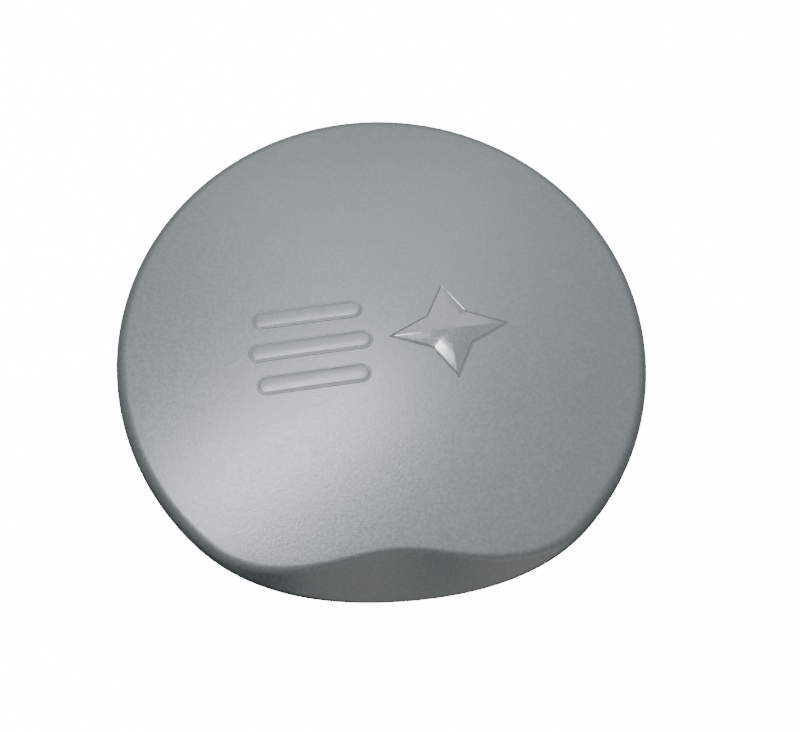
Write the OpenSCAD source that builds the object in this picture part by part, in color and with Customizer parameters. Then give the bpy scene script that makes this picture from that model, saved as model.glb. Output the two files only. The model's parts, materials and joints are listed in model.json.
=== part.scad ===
// Hard spare tyre cover for a travel trailer: a hinged, lockable moulded shell over a
// rear ring that a steel bracket clamps behind the spare wheel.
// Frame: +Z out of the face, origin on the wheel's axis in the plane of the rear ring,
// -Y the lower side with the scoop and the lock, +Y the upper side with the hinges.

/* [Shell] */
// Radius of the shell at its widest circle
cover_r = 362; // [355:1:375]
// Height of the face's edge above the rear plane
face_edge_z = 255; // [250:1:270]
// Rise of the crowned face from its edge to its middle
crown_rise = 14; // [8:1:20]
// Radius of the rounded edge between the face and the side wall
edge_round = 16; // [12:1:20]
// Wall thickness of the moulding
wall = 3.5; // [3:0.25:4.5]
// Height of the shell's open rim above the rear plane
rim_z = 6; // [6:0.5:8]

/* [Scoop and flattened side] */
// Distance from the axis to the flattened lower wall
flat_y = 343.2; // [340:0.2:348]
// Radius of the flattened lower wall, seen from the front
flat_arc_r = 578; // [560:1:620]
// Distance from the axis to the scoop where it meets the face
scoop_y = 284.5; // [280:0.5:292]
// Radius of the scoop's edge in the face
scoop_arc_r = 408; // [390:1:430]
// Drop of the scoop from the face's edge to the lower wall
scoop_drop = 60; // [54:1:62]

/* [Rear ring] */
// Inner radius of the rear ring
ring_in_r = 236; // [225:1:240]
// Thickness of the ring's flange
flange_t = 4; // [4:0.5:5]
// Height of the ring's locating lip and ribs
lip_z = 14; // [12:1:15]
// Height of the plane that the spare tyre's rear side rests in
tyre_z = 18; // [17:1:22]

/* [Wheel bracket] */
// Pitch circle diameter of the wheel studs
stud_pcd = 114.3; // [108:0.1:120]
// Radius of each stud hole
stud_hole_r = 7.25; // [6.5:0.25:8]
// Radius of the centre bore
hub_bore_r = 42; // [33:1:44]
// Radius of the hub plate
hub_plate_r = 95; // [92:1:100]
// Height of the face that the wheel is clamped on
hub_face_z = 119.5; // [110:0.5:125]
// Width of each bracket arm
arm_w = 32; // [26:1:36]
// Thickness of the bracket's steel
steel_t = 4; // [3:0.5:4]

/* [Hinges] */
// Distance of each hinge's middle from the centre line
hinge_x = 60; // [55:1:65]
// Distance of the hinge axis outside the shell's widest circle
hinge_out = 12; // [11:0.5:14]
// Height of the hinge axis above the rear plane
hinge_z = 8; // [8:0.5:10]
// Radius of the hinge pins
pin_r = 2.5; // [2:0.25:3]

/* [Lock] */
// Height of the lock's axis above the rear plane
lock_z = 32; // [31:0.5:33]
// Depth of the lock's recess, from the wall to the lock's flange
recess_d = 7.2; // [6.5:0.1:8]
// Length of the cam from the lock's axis to its tip
cam_len = 24; // [22:1:25]

/* [Ornament] */
// Half width of the four-pointed star
star_a = 84; // [60:1:90]
// Half height of the four-pointed star
star_b = 70; // [50:1:74]
// Length of the longest stripe
stripe_len = 165; // [120:1:170]
// Height of the ornament above the face
badge_t = 4; // [3:0.5:6]

/* [Hidden] */
$fn = 144;
SILVER = "#9ba09f";
BLACK = "#26282a";
RUBBER = "#1d1e1f";
ZINC = "#b9bcbd";
STEEL = "#34373a";
CHROME = "#c9cdcf";

// Shell form
crown_tilt = atan(2 * crown_rise / (cover_r - edge_round));
widest_z = face_edge_z - edge_round * cos(crown_tilt);
crown_r = cover_r - edge_round + edge_round * sin(crown_tilt);
flat_cy = flat_arc_r - flat_y;
scoop_run = flat_y - scoop_y;
scoop_cy = -(scoop_y + scoop_arc_r);
scoop_slope = scoop_run / scoop_drop;
top_z = face_edge_z + crown_rise;
fit = 0.05;
gap = 0.3;
eps = 0.5;

// Ring
lip_gap = 1.5;
lip_t = 3;
rib_count = 16;
pad_r = [252, 292];

// Bracket
arm_out_r = 330;
arm_foot_r = 148;
arm_tab_r = 76;
arm_bolt_rs = [280, 312];
bolt_r = 3;
head_r = 6;
head_h = 3.2;
washer_t = 1.6;
nut_h = 5;
nut_r = 5.77;
rivet_r = 3;
rivet_at = 87;
rivet_head_r = 5.5;
rivet_sink = 1.8;

// Hinges
hinge_y = cover_r + hinge_out;
knuckle_r = 6;
base_knuckle_w = 20;
leaf_knuckle_w = 14;
leaf_w = base_knuckle_w + 2 * leaf_knuckle_w + 4 * gap;
leaf_t = 3;
leaf_y = cover_r + 3;
leaf_bolt_x = 14;
leaf_bolt_z = 44;
leaf_bolt_r = 2.5;
pad_z = [16, 60];
inner_pad_y = 344;
inner_pad_z = [37.5, 54];
base_in_y = 304;
screw_head_r = 5;
screw_sink = 2.8;

// Lock
pocket_w = 54;
pocket_h = 34;
pocket_z = lock_z - 15;
pocket_t = 2;
pocket_back_y = -flat_y + recess_d + pocket_t;
barrel_r = 9.5;
barrel_end_y = pocket_back_y + 16;
plug_r = 6.5;
cam_y = barrel_end_y + gap;
cam_t = 2.5;
cam_w = 12;
door_pin_z = pocket_z + pocket_h - pocket_t - 3;
door_pin_y = -flat_y + 2;
door_t = 1.8;
lock_nut_r = 12.5;
tongue_x = [14, 38];
tongue_z = lock_z + cam_w / 2 + 1;

// Shell furniture
hoop_z = [17, 37];
hoop_t = 2;
hoop_rivet_angles = [for (k = [0:10]) -57 + k * 29.4];
gusset_angles = [for (k = [0:14]) -50 + k * 20];
gusset_leg = 24;
stiff_r = [205, 235];
stiff_z = 246;
face_pad_r = 262;
face_pad_z = 224;

// Ornament
badge_tilt = 5;
star_at = [86, -8];
stripe_at = [-100, -24];
stripe_pitch = 46;
stripe_h = 26;
stud_r = 2.5;
stud_len = 14;
star_studs = [[-52, 0], [52, 0], [0, 40], [0, -40]];
clip_r = 8;
clip_t = 1.2;

function crown(r, sink = 0) = face_edge_z - sink + crown_rise * (1 - pow(r / crown_r, 2));
function at_angle(r, a) = [r * cos(a), r * sin(a)];
function stripe_studs(k) = [for (s = [-1, 1]) [s * stripe_len * 0.3, k * stripe_pitch]];
function turned(p, a) = [p[0] * cos(a) - p[1] * sin(a), p[0] * sin(a) + p[1] * cos(a)];
function stud_places() = concat(
    [for (p = star_studs) star_at + turned(p, badge_tilt)],
    [for (k = [-1:1], p = stripe_studs(k)) stripe_at + turned(p, badge_tilt)]);

// Half section of the shell's form, moved inwards by sink; the crown is a parabola and the edge an arc
function shell_section(sink) = concat(
    [[0, rim_z - sink]],
    [for (i = [0:10]) let (r = crown_r * i / 10) [r, crown(r, sink)]],
    [for (i = [1:8])
        let (a = (90 - crown_tilt) * (1 - i / 8))
        [cover_r - edge_round + (edge_round - sink) * cos(a),
         widest_z + (edge_round - sink) * sin(a)]],
    [[cover_r - sink, rim_z - sink]]);

module flat_side(inset) {
    translate([0, flat_cy]) circle(r = flat_arc_r - inset, $fn = 288);
}
module outline(inset) {
    intersection() {
        circle(r = cover_r - inset, $fn = 288);
        flat_side(inset);
    }
}
module band(out_inset, in_inset, z0, z1) {
    translate([0, 0, z0]) linear_extrude(z1 - z0) difference() {
        outline(out_inset);
        outline(in_inset);
    }
}
module scoop_cone(grow) {
    low = 20;
    high = 40;
    translate([0, scoop_cy, face_edge_z - scoop_drop - low])
        cylinder(
            h = scoop_drop + low + high,
            r1 = scoop_arc_r - (scoop_drop + low) * scoop_slope + grow,
            r2 = scoop_arc_r + high * scoop_slope + grow,
            $fn = 288);
}
module shell_form(sink) {
    difference() {
        intersection() {
            rotate_extrude($fn = 288) polygon(shell_section(sink));
            translate([0, 0, -10]) linear_extrude(top_z + 20) flat_side(sink);
        }
        scoop_cone(sink * sqrt(1 + pow(scoop_slope, 2)));
    }
}
module tube(r_out, r_in, h) {
    difference() {
        cylinder(r = r_out, h = h);
        translate([0, 0, -eps]) cylinder(r = r_in, h = h + 2 * eps);
    }
}
module box(x, y, z) {
    translate([x[0], y[0], z[0]]) cube([x[1] - x[0], y[1] - y[0], z[1] - z[0]]);
}
module mirrored(side) {
    if (side > 0) children();
    else mirror([1, 0, 0]) children();
}
// A round bar along +Y from y0 to y1, at x and z
module bar_y(x, z, y0, y1, r) {
    translate([x, y0, z]) rotate([-90, 0, 0]) cylinder(r = r, h = y1 - y0, $fn = 48);
}
// A round bar along +X from x0 to x1, at y and z
module bar_x(y, z, x0, x1, r) {
    translate([x0, y, z]) rotate([0, 90, 0]) cylinder(r = r, h = x1 - x0, $fn = 48);
}
module each_arm_bolt() {
    for (a = [45:90:315], r = arm_bolt_rs)
        rotate([0, 0, a]) translate([r, 0, 0]) children();
}
module countersunk(r, head, sink_h, z0, z1) {
    translate([0, 0, z0]) cylinder(r1 = head, r2 = r, h = sink_h, $fn = 48);
    translate([0, 0, z0 + sink_h / 2]) cylinder(r = r, h = z1 - z0 - sink_h / 2, $fn = 48);
}
// The hole for a countersunk head whose face is at z0, open below it
module countersink(r, head, sink_h, z0, z1) {
    flare = (head - r) / sink_h;
    translate([0, 0, z0 - 1])
        cylinder(r1 = head + fit + flare, r2 = r + fit, h = sink_h + 1, $fn = 48);
    translate([0, 0, z0]) cylinder(r = r + fit, h = z1 - z0, $fn = 48);
}

// Root body
module hinge_screw_places(side) {
    for (dx = [-16, 16]) translate([side * hinge_x + dx, base_in_y + 16, 0]) children();
}
module rear_ring() {
    color(BLACK) difference() {
        union() {
            linear_extrude(flange_t) difference() {
                outline(0);
                circle(r = ring_in_r);
            }
            band(wall + lip_gap, wall + lip_gap + lip_t, flange_t - eps, lip_z);
            translate([0, 0, flange_t - eps]) tube(ring_in_r + 4, ring_in_r, lip_z - flange_t);
            for (k = [0:rib_count - 1]) rotate([0, 0, (k + 0.5) * 360 / rib_count])
                if (abs(k - 11.5) > 1)
                    box([ring_in_r + 2, cover_r - 6], [-1.5, 1.5], [flange_t - eps, lip_z - 3]);
            for (side = [-1, 1])
                box([side * hinge_x - 28, side * hinge_x + 28], [base_in_y - 4, 346],
                    [flange_t - eps, lip_z - 3]);
        }
        each_arm_bolt() countersink(bolt_r, head_r, head_h, gap, lip_z);
        for (a = [45:90:315]) rotate([0, 0, a])
            box([ring_in_r - 5, arm_out_r + gap], [-arm_w / 2 - gap, arm_w / 2 + gap],
                [flange_t, lip_z + 1]);
        for (side = [-1, 1]) {
            box([side * hinge_x - leaf_w / 2 - gap, side * hinge_x + leaf_w / 2 + gap],
                [base_in_y - gap, cover_r + 5], [-eps, leaf_t + gap]);
            hinge_screw_places(side)
                translate([0, 0, -eps]) cylinder(r = leaf_bolt_r, h = lip_z, $fn = 48);
        }
        for (x = [20, 32])
            translate([x, -320, -eps]) cylinder(r = 2, h = flange_t + 2 * eps, $fn = 48);
    }
}
module ring_seal() {
    color(RUBBER) band(0.5, wall + lip_gap - gap, flange_t, rim_z - gap);
}
module tyre_pads() {
    color(RUBBER) for (a = [22.5:45:337.5]) rotate([0, 0, a - 5])
        translate([0, 0, flange_t]) rotate_extrude(angle = 10)
            translate([pad_r[0], 0]) square([pad_r[1] - pad_r[0], tyre_z - flange_t]);
}
module hub_plate() {
    color(STEEL) difference() {
        translate([0, 0, hub_face_z - steel_t]) tube(hub_plate_r, hub_bore_r, steel_t);
        for (k = [0:4]) rotate([0, 0, 90 + 72 * k]) translate([stud_pcd / 2, 0, 0])
            cylinder(r = stud_hole_r, h = 2 * hub_face_z);
        each_hub_rivet() {
            cylinder(r = rivet_r + fit, h = 2 * hub_face_z, $fn = 48);
            translate([0, 0, hub_face_z - rivet_sink - 0.1])
                cylinder(r1 = rivet_r + fit, r2 = rivet_head_r + fit + 0.3, h = rivet_sink + 0.2, $fn = 48);
        }
    }
}
module each_hub_rivet() {
    for (a = [45:90:315]) rotate([0, 0, a])
        for (y = [-9, 9]) translate([rivet_at, y, 0]) children();
}
// Cranked flat bar: a foot on the ring, a sloping leg inside the wheel and a tab under the hub plate
module arm(k) {
    t = steel_t;
    z0 = flange_t;
    z1 = hub_face_z - steel_t - t;
    lean = atan2(z1 - z0, arm_foot_r - hub_plate_r);
    c = t * tan(lean / 2);
    side = [
        [arm_out_r, z0], [arm_out_r, z0 + t], [arm_foot_r + c, z0 + t],
        [hub_plate_r + c, z1 + t], [arm_tab_r, z1 + t], [arm_tab_r, z1],
        [hub_plate_r, z1], [arm_foot_r, z0],
    ];
    color(STEEL) rotate([0, 0, 45 + 90 * (k - 1)]) difference() {
        rotate([90, 0, 0]) translate([0, 0, -arm_w / 2]) linear_extrude(arm_w) polygon(side);
        for (r = arm_bolt_rs) translate([r, 0, 0]) cylinder(r = bolt_r + fit, h = 20, $fn = 48);
        for (y = [-9, 9]) translate([rivet_at, y, z1 - 5]) cylinder(r = rivet_r + fit, h = 20, $fn = 48);
    }
}
module hub_rivets() {
    z1 = hub_face_z - 2 * steel_t;
    color(ZINC) each_hub_rivet() {
        translate([0, 0, z1 - 2]) cylinder(r = rivet_head_r, h = 2, $fn = 48);
        translate([0, 0, z1 - 1]) cylinder(r = rivet_r, h = 2 * steel_t, $fn = 48);
        translate([0, 0, hub_face_z - rivet_sink - 0.1])
            cylinder(r1 = rivet_r, r2 = rivet_head_r, h = rivet_sink, $fn = 48);
    }
}
module arm_bolts() {
    color(ZINC) each_arm_bolt()
        countersunk(bolt_r, head_r, head_h, 0.3, flange_t + steel_t + washer_t + nut_h + 2);
}
module arm_washers() {
    color(ZINC) each_arm_bolt() translate([0, 0, flange_t + steel_t])
        tube(head_r + 0.5, bolt_r + fit, washer_t, $fn = 48);
}
module arm_nuts() {
    color(ZINC) each_arm_bolt() translate([0, 0, flange_t + steel_t + washer_t]) difference() {
        cylinder(r = nut_r, h = nut_h, $fn = 6);
        translate([0, 0, -eps]) cylinder(r = bolt_r + fit, h = nut_h + 1, $fn = 48);
    }
}
module hinge_base(side) {
    x = side * hinge_x;
    color(ZINC) difference() {
        union() {
            box([x - leaf_w / 2, x + leaf_w / 2], [base_in_y, cover_r + 3], [gap, gap + leaf_t]);
            box([x - base_knuckle_w / 2, x + base_knuckle_w / 2], [cover_r, hinge_y],
                [gap, gap + leaf_t]);
            bar_x(hinge_y, hinge_z, x - base_knuckle_w / 2, x + base_knuckle_w / 2, knuckle_r);
        }
        bar_x(hinge_y, hinge_z, x - leaf_w, x + leaf_w, pin_r + fit);
        hinge_screw_places(side)
            countersink(leaf_bolt_r, screw_head_r, screw_sink, gap, lip_z);
    }
}
module hinge_base_screws() {
    color(ZINC) for (side = [-1, 1]) hinge_screw_places(side)
        countersunk(leaf_bolt_r, screw_head_r, screw_sink, gap, lip_z - 3.5);
}
module hinge_pin(side) {
    x = side * hinge_x;
    color(ZINC) union() {
        bar_x(hinge_y, hinge_z, x - leaf_w / 2 - 1, x + leaf_w / 2 + 1, pin_r);
        bar_x(hinge_y, hinge_z, x - leaf_w / 2 - 2.5, x - leaf_w / 2 - gap, 4);
        bar_x(hinge_y, hinge_z, x + leaf_w / 2 + gap, x + leaf_w / 2 + 2, 3.6);
    }
}
module striker() {
    color(ZINC) difference() {
        union() {
            box(tongue_x, [-333, -306], [flange_t, flange_t + 2.5]);
            box(tongue_x, [-333, -330.5], [flange_t, tongue_z + 2.5]);
            box(tongue_x, [-333, -cam_reach_y()], [tongue_z, tongue_z + 2.5]);
        }
        for (x = [20, 32]) translate([x, -320, 0]) cylinder(r = 2 + fit, h = 20, $fn = 48);
    }
}
function cam_reach_y() = -(cam_y + cam_t + 0.5);
module striker_screws() {
    color(ZINC) for (x = [20, 32]) translate([x, -320, 0]) {
        translate([0, 0, 0.5]) cylinder(r = 2, h = 8, $fn = 48);
        translate([0, 0, flange_t + 2.5]) cylinder(r = 4, h = 2.4, $fn = 48);
    }
}

// Front cover body
module hinge_pads_outer() {
    color(SILVER) difference() {
        for (side = [-1, 1])
            box([side * hinge_x - leaf_w / 2 - 2, side * hinge_x + leaf_w / 2 + 2],
                [hinge_x, leaf_y], pad_z);
        cylinder(r = cover_r, h = top_z, $fn = 288);
        leaf_bolt_holes(leaf_bolt_r + fit);
    }
}
module hinge_pads_inner() {
    color(SILVER) difference() {
        intersection() {
            for (side = [-1, 1])
                box([side * hinge_x - 26, side * hinge_x + 26], [inner_pad_y, cover_r], inner_pad_z);
            cylinder(r = cover_r - wall, h = top_z, $fn = 288);
        }
        leaf_bolt_holes(leaf_bolt_r + fit);
    }
}
module corner_gussets() {
    color(SILVER) intersection() {
        for (a = gusset_angles) rotate([0, 0, a]) rotate([90, 0, 0])
            translate([0, 0, -wall / 2]) linear_extrude(wall) polygon([
                [cover_r - wall - gusset_leg, face_edge_z],
                [cover_r, face_edge_z],
                [cover_r, face_edge_z - edge_round - gusset_leg]]);
        shell_form(wall);
    }
}
module leaf_bolt_holes(r) {
    for (side = [-1, 1], dx = [-leaf_bolt_x, leaf_bolt_x])
        bar_y(side * hinge_x + dx, leaf_bolt_z, inner_pad_y - 12, leaf_y + 12, r);
}
module front_shell() {
    color(SILVER) difference() {
        shell_form(0);
        shell_form(wall);
        translate([0, 0, -20]) cylinder(r = cover_r + 20, h = 20 + rim_z);
        leaf_bolt_holes(leaf_bolt_r + fit);
        box([-pocket_w / 2 - gap, pocket_w / 2 + gap], [-flat_y - 5, -flat_y + 8],
            [pocket_z - gap, pocket_z + pocket_h + gap]);
        for (p = stud_places()) translate([p[0], p[1], face_edge_z - 20])
            cylinder(r = stud_r + fit, h = 50, $fn = 48);
        for (a = hoop_rivet_angles) rotate([0, 0, a])
            bar_x(0, (hoop_z[0] + hoop_z[1]) / 2, cover_r - 10, cover_r + 10, 2 + fit);
    }
}
module stiffening_ring() {
    color(SILVER) intersection() {
        union() {
            translate([0, 0, stiff_z]) tube(stiff_r[1], stiff_r[0], wall);
            translate([0, 0, stiff_z]) tube(stiff_r[0] + wall, stiff_r[0], 30);
            translate([0, 0, stiff_z]) tube(stiff_r[1], stiff_r[1] - wall, 30);
        }
        shell_form(wall);
    }
}
module face_pads() {
    color(RUBBER) intersection() {
        for (a = [0:90:270]) rotate([0, 0, a]) translate([face_pad_r, 0, face_pad_z])
            cylinder(r = 20, h = 60);
        shell_form(wall);
    }
}
module rim_hoop() {
    color(ZINC) difference() {
        band(wall, wall + hoop_t, hoop_z[0], hoop_z[1]);
        box([-pocket_w / 2 - 6, pocket_w / 2 + 6], [-flat_y, -flat_y + 20], [0, 60]);
        for (a = hoop_rivet_angles) rotate([0, 0, a])
            bar_x(0, (hoop_z[0] + hoop_z[1]) / 2, cover_r - 10, cover_r + 10, 2 + fit);
    }
}
module hoop_rivets() {
    z = (hoop_z[0] + hoop_z[1]) / 2;
    color(ZINC) for (a = hoop_rivet_angles) rotate([0, 0, a]) union() {
        bar_x(0, z, cover_r - wall - hoop_t - 1, cover_r + 0.5, 2);
        bar_x(0, z, cover_r - wall - hoop_t - 1.6, cover_r - wall - hoop_t - 0.1, 3.4);
        bar_x(0, z, cover_r, cover_r + 1.4, 4.5);
    }
}
// A flat outline laid on the crowned face, with studs that pass through the face
module on_face(studs, at) {
    union() {
        intersection() {
            translate([at[0], at[1], face_edge_z - 10]) rotate([0, 0, badge_tilt])
                linear_extrude(60) children();
            crown_layer(0, badge_t);
        }
        for (p = studs) let (q = at + turned(p, badge_tilt))
            translate([q[0], q[1], crown(norm(q)) - stud_len])
                cylinder(r = stud_r, h = stud_len + 1, $fn = 48);
    }
}
module crown_layer(low, high) {
    rotate_extrude($fn = 288) polygon(concat(
        [for (i = [0:6]) let (r = crown_r * i / 10) [r, crown(r) + low]],
        [for (i = [6:-1:0]) let (r = crown_r * i / 10) [r, crown(r) + high]]));
}
module badge_star() {
    waist = 0.34;
    color(CHROME) on_face(star_studs, star_at) polygon([for (k = [0:7])
        let (a = 45 * k, s = k % 2 == 0 ? 1 : waist * sqrt(2))
        [star_a * s * cos(a), star_b * s * sin(a)]]);
}
module stripe(len) {
    square([len - stripe_h, stripe_h], center = true);
    for (s = [-1, 1]) translate([s * (len - stripe_h) / 2, 0]) circle(d = stripe_h);
}
module badge_stripes() {
    color(SILVER) for (k = [-1:1]) on_face(stripe_studs(k), stripe_at)
        translate([0, k * stripe_pitch]) stripe(stripe_len - 16 * abs(k));
}
module badge_clips() {
    color(ZINC) for (p = stud_places())
        translate([p[0], p[1], crown(norm(p) + clip_r, wall) - clip_t - 0.1])
            tube(clip_r, stud_r + fit, clip_t, $fn = 48);
}
module hinge_leaf(side) {
    x = side * hinge_x;
    reach = base_knuckle_w / 2 + gap;
    color(ZINC) difference() {
        union() {
            box([x - leaf_w / 2, x + leaf_w / 2], [leaf_y, leaf_y + leaf_t],
                [hinge_z + knuckle_r + 1, pad_z[1] - 2]);
            for (s = [-1, 1]) {
                x0 = x + s * reach;
                x1 = x + s * (reach + leaf_knuckle_w);
                xs = [min(x0, x1), max(x0, x1)];
                box(xs, [leaf_y, leaf_y + leaf_t], [hinge_z, 30]);
                box(xs, [leaf_y, hinge_y - 2], [hinge_z, hinge_z + knuckle_r]);
                bar_x(hinge_y, hinge_z, xs[0], xs[1], knuckle_r);
            }
        }
        bar_x(hinge_y, hinge_z, x - leaf_w, x + leaf_w, pin_r + fit);
        leaf_bolt_holes(leaf_bolt_r + fit);
    }
}
module each_leaf_bolt() {
    for (side = [-1, 1], dx = [-leaf_bolt_x, leaf_bolt_x])
        translate([side * hinge_x + dx, 0, leaf_bolt_z]) rotate([-90, 0, 0]) children();
}
module hinge_leaf_bolts() {
    color(ZINC) each_leaf_bolt() {
        translate([0, 0, inner_pad_y - 7])
            cylinder(r = leaf_bolt_r, h = leaf_y + leaf_t + 7 - inner_pad_y, $fn = 48);
        translate([0, 0, leaf_y + leaf_t]) cylinder(r1 = 4.75, r2 = 3.4, h = 2.6, $fn = 48);
    }
}
module hinge_leaf_nuts() {
    color(ZINC) each_leaf_bolt() translate([0, 0, inner_pad_y - 4.5]) difference() {
        union() {
            cylinder(r = 4.62, h = 3.5, $fn = 6);
            translate([0, 0, 3.5]) cylinder(r = 6, h = 1, $fn = 48);
        }
        translate([0, 0, -eps]) cylinder(r = leaf_bolt_r + fit, h = 6, $fn = 48);
    }
}
module lock_pocket() {
    hw = pocket_w / 2;
    z1 = pocket_z + pocket_h;
    color(BLACK) difference() {
        union() {
            intersection() {
                box([-hw, hw], [-flat_y, pocket_back_y], [pocket_z, z1]);
                linear_extrude(100) flat_side(0);
            }
            intersection() {
                box([-hw - 4, hw + 4], [-flat_y, -flat_y + 10], [pocket_z - 2.5, z1 + 4]);
                linear_extrude(100) difference() {
                    flat_side(wall + 0.05);
                    flat_side(wall + 1.25);
                }
            }
        }
        box([-hw + pocket_t, hw - pocket_t], [-flat_y - 5, pocket_back_y - pocket_t],
            [pocket_z + pocket_t, z1 - pocket_t]);
        bar_y(0, lock_z, -flat_y, 0, barrel_r + fit);
        bar_x(door_pin_y, door_pin_z, -hw - 10, hw - 1, 1.25 + fit);
    }
}
module lock_housing() {
    color(CHROME) difference() {
        union() {
            bar_y(0, lock_z, pocket_back_y - pocket_t - 1.5, pocket_back_y - pocket_t, 11.5);
            bar_y(0, lock_z, pocket_back_y - pocket_t - 0.5, barrel_end_y, barrel_r);
        }
        bar_y(0, lock_z, -flat_y, 0, plug_r + fit);
    }
}
module lock_nut() {
    color(ZINC) translate([0, pocket_back_y, lock_z]) rotate([-90, 0, 0]) difference() {
        cylinder(r = lock_nut_r, h = 3.5, $fn = 6);
        translate([0, 0, -eps]) cylinder(r = barrel_r + fit, h = 5);
    }
}
module lock_door_pin() {
    hw = pocket_w / 2;
    color(ZINC) bar_x(door_pin_y, door_pin_z, -hw, hw - 1, 1.25);
}
module lock_door() {
    hw = pocket_w / 2 - pocket_t - 0.5;
    color(BLACK) difference() {
        union() {
            box([-hw, hw], [-flat_y, -flat_y + door_t],
                [pocket_z + pocket_t + 0.5, door_pin_z]);
            bar_x(door_pin_y, door_pin_z, -hw, hw, 2);
            box([-8, 8], [-flat_y, -flat_y + door_t + 0.8],
                [pocket_z + pocket_t + 0.5, pocket_z + pocket_t + 3]);
        }
        bar_x(door_pin_y, door_pin_z, -hw - 5, hw + 5, 1.25 + fit);
        bar_y(0, pocket_z + pocket_t + 0.5, -flat_y - 5, -flat_y + 5, 1.6);
    }
}
module lock_plug() {
    front = pocket_back_y - pocket_t - 1.7;
    color(ZINC) difference() {
        union() {
            bar_y(0, lock_z, front, cam_y, plug_r);
            bar_y(0, lock_z, cam_y - 1, cam_y + cam_t, 4);
        }
        box([-1, 1], [front - 1, front + 9], [lock_z - 4, lock_z + 4]);
        bar_y(0, lock_z, cam_y - 8, cam_y + 10, 1.8);
    }
}
module lock_cam() {
    color(ZINC) difference() {
        union() {
            box([-cam_w / 2, cam_w / 2], [cam_y, cam_y + cam_t], [lock_z - cam_len, lock_z]);
            bar_y(0, lock_z, cam_y, cam_y + cam_t, cam_w / 2 + 1);
        }
        bar_y(0, lock_z, cam_y - 5, cam_y + 5, 4 + fit);
    }
}
module lock_cam_screw() {
    color(ZINC) union() {
        bar_y(0, lock_z, cam_y - 7, cam_y + cam_t + 1, 1.75);
        bar_y(0, lock_z, cam_y + cam_t, cam_y + cam_t + 2.6, 5);
    }
}

rear_ring();
ring_seal();
tyre_pads();
hub_plate();
arm(1);  // arm_1
arm(2);  // arm_2
arm(3);  // arm_3
arm(4);  // arm_4
hub_rivets();
arm_bolts();
arm_washers();
arm_nuts();
hinge_base(-1);  // hinge_base_left
hinge_base(1);  // hinge_base_right
hinge_base_screws();
hinge_pin(-1);  // hinge_pin_left
hinge_pin(1);  // hinge_pin_right
striker();
striker_screws();
front_shell();
corner_gussets();
hinge_pads_outer();
hinge_pads_inner();
stiffening_ring();
face_pads();
rim_hoop();
hoop_rivets();
badge_star();
badge_stripes();
badge_clips();
hinge_leaf(-1);  // hinge_leaf_left
hinge_leaf(1);  // hinge_leaf_right
hinge_leaf_bolts();
hinge_leaf_nuts();
lock_pocket();
lock_housing();
lock_nut();
lock_door_pin();
lock_door();
lock_plug();
lock_cam();
lock_cam_screw();
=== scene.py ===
"""Looks of the hinged, lockable spare-tyre cover: silver moulded shell, ornament, rear ring and hardware."""
import json
import math

import bmesh
import bpy
import numpy as np
from mathutils import Matrix, Vector


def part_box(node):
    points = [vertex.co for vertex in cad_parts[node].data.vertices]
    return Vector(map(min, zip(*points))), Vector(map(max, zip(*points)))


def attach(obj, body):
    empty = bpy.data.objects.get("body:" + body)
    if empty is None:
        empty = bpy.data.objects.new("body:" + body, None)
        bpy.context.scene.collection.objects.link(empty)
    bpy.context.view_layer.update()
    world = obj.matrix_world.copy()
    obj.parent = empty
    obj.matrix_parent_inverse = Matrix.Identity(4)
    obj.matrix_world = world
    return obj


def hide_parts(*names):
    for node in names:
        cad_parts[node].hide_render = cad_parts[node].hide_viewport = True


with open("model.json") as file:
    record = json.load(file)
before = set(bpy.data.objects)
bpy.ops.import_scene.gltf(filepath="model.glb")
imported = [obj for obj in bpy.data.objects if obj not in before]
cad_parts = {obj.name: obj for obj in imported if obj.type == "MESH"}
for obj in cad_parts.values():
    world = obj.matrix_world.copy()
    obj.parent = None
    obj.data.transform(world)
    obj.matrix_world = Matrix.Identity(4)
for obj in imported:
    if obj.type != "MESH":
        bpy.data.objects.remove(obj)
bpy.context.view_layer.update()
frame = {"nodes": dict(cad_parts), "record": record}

NODES = frame["nodes"]
SLOT_OF = {part["node"]: part["material_slot"] for part in frame["record"]["subparts"]}
BODY_OF = {name: body for body, names in frame["record"]["behaviour"]["bodies"].items() for name in names}
SHELL_LOW, SHELL_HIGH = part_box("front_shell")
MM = 0.001

# Form of the shell, in metres, from the CAD shell's box and the same driving dimensions
RADIUS = SHELL_HIGH.x
FLAT_Y = -SHELL_LOW.y
RIM_Z = SHELL_LOW.z
CROWN_RISE = 0.014
FACE_Z = SHELL_HIGH.z - CROWN_RISE
EDGE_ROUND = 0.020
WALL = 0.0035
# The flat side: half its angle next to the face, the radius of its arc at the rim, the ease at the arc's ends
FLAT_HALF = math.radians(42)
FLAT_ARC = 0.578
FLAT_EASE = 0.0008
# Share of the wall's height over which its outline at the face turns into the one at the rim
WALL_BLEND = 0.8
# The scoop: half its angle, how far it goes in and down, and how much tighter than the edge its two bends are
SCOOP_HALF = math.radians(39)
SCOOP_IN = 0.0645
SCOOP_DROP = 0.052
SCOOP_TOP_BEND = 0.009
SCOOP_LOW_BEND = 0.010
# Rows and columns of the shell's mesh, with more columns over the scoop
FACE_ROWS, BEND_ROWS, SLOPE_ROWS, WALL_ROWS, LIP_ROWS = 30, 13, 13, 24, 8
SCOOP_SPAN = (math.radians(-132), math.radians(-48))
SCOOP_COLUMNS, OTHER_COLUMNS = 200, 280
POCKET_FLANGE = 0.0037

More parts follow.
